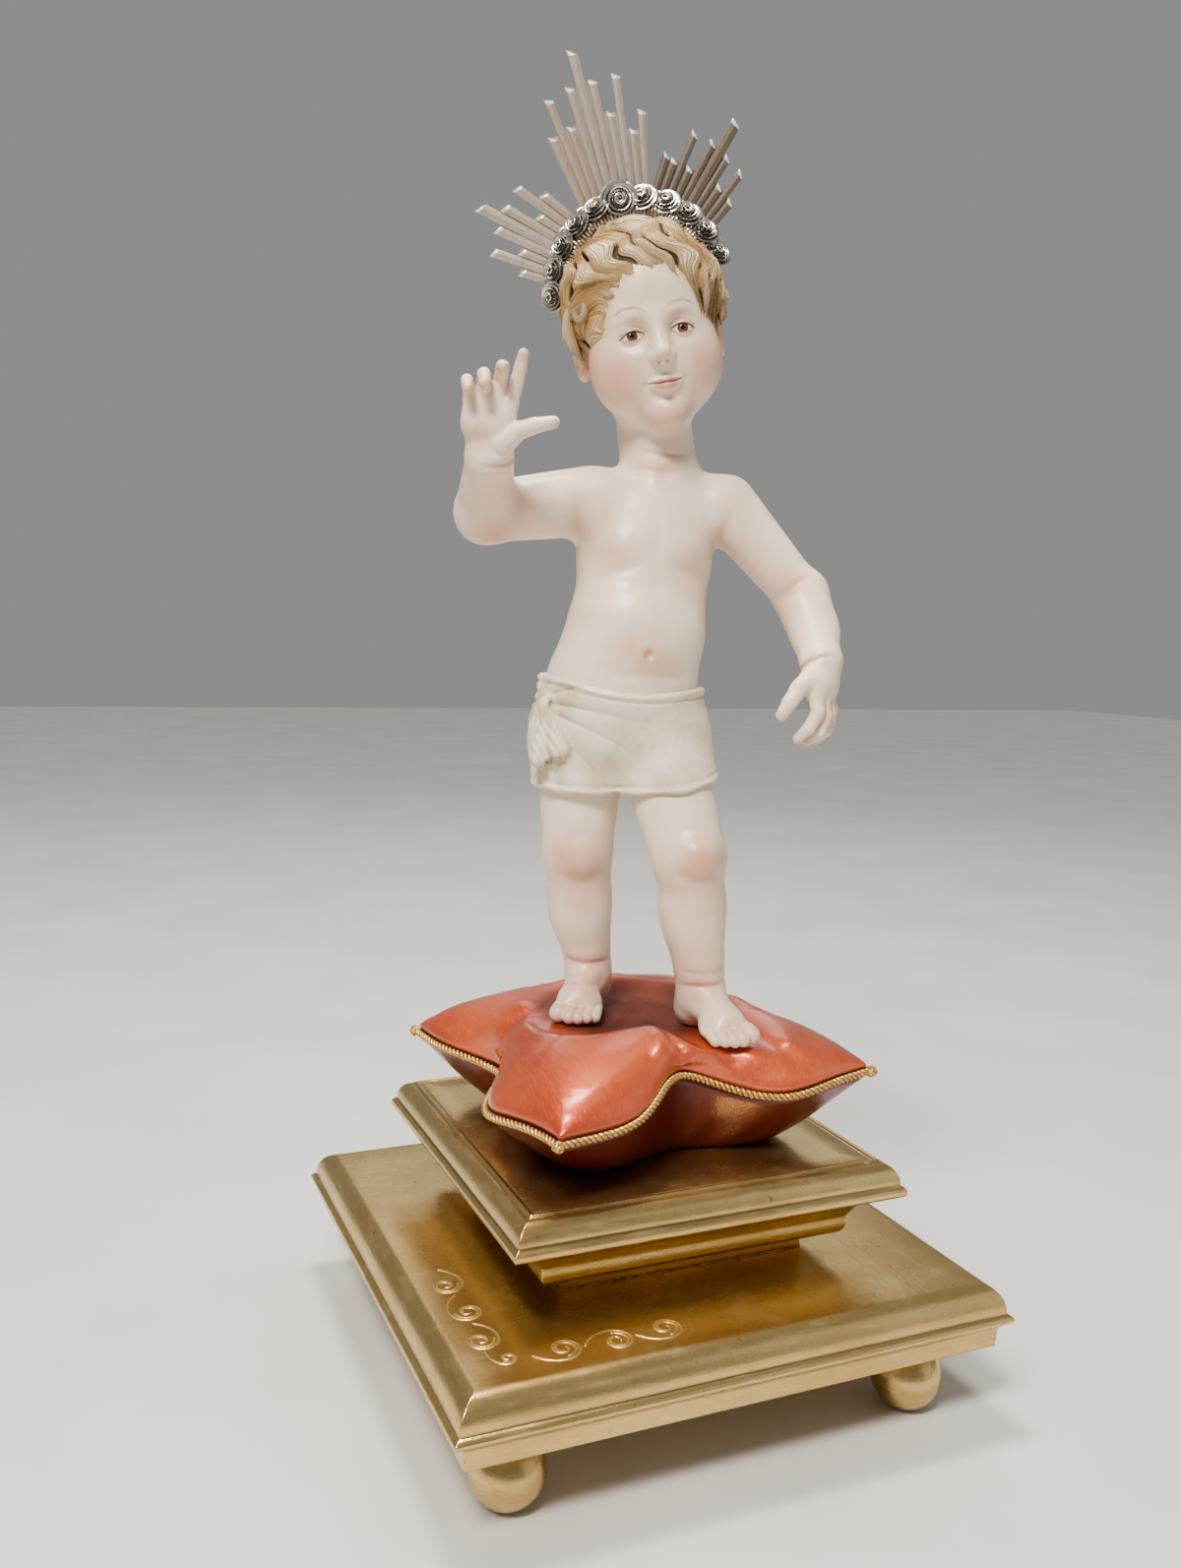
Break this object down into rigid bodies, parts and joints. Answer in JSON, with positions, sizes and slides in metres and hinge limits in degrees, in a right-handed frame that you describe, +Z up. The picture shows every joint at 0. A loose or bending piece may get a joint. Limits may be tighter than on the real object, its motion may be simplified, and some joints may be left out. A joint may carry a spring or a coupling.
{
  "type": "baby jesus figurine",
  "caption": "Carved and painted infant figure in a loincloth on a red lacquered cushion, with a silver ray diadem, on a stepped gilded wooden plinth.",
  "frame": {"origin": "on the supporting surface, under the middle of the square plinth", "axes": "+Z up, -Y out of the plinth's front, +X to the viewer's right when facing it; the figure faces about 16 degrees towards -X from -Y"},
  "size_m": [0.3, 0.3, 0.6978],
  "materials": {
    "gilding": "aged satin gilding over wood",
    "lacquer": "glossy red lacquer over carved wood",
    "cord": "twisted metallic gold thread",
    "flesh": "polished oil flesh tones over carved wood, painted hair and cloth",
    "silver": "antiqued silver, burnished tips"
  },
  "bodies": {
    "root": {"ball_foot_front_left": "gilding", "ball_foot_front_right": "gilding", "ball_foot_back_right": "gilding", "ball_foot_back_left": "gilding", "lower_plinth": "gilding", "neck_block": "gilding", "upper_plinth": "gilding", "cushion": "lacquer", "cushion_cord": "cord", "figure": "flesh", "diadem": "silver"}
  },
  "joints": []
}
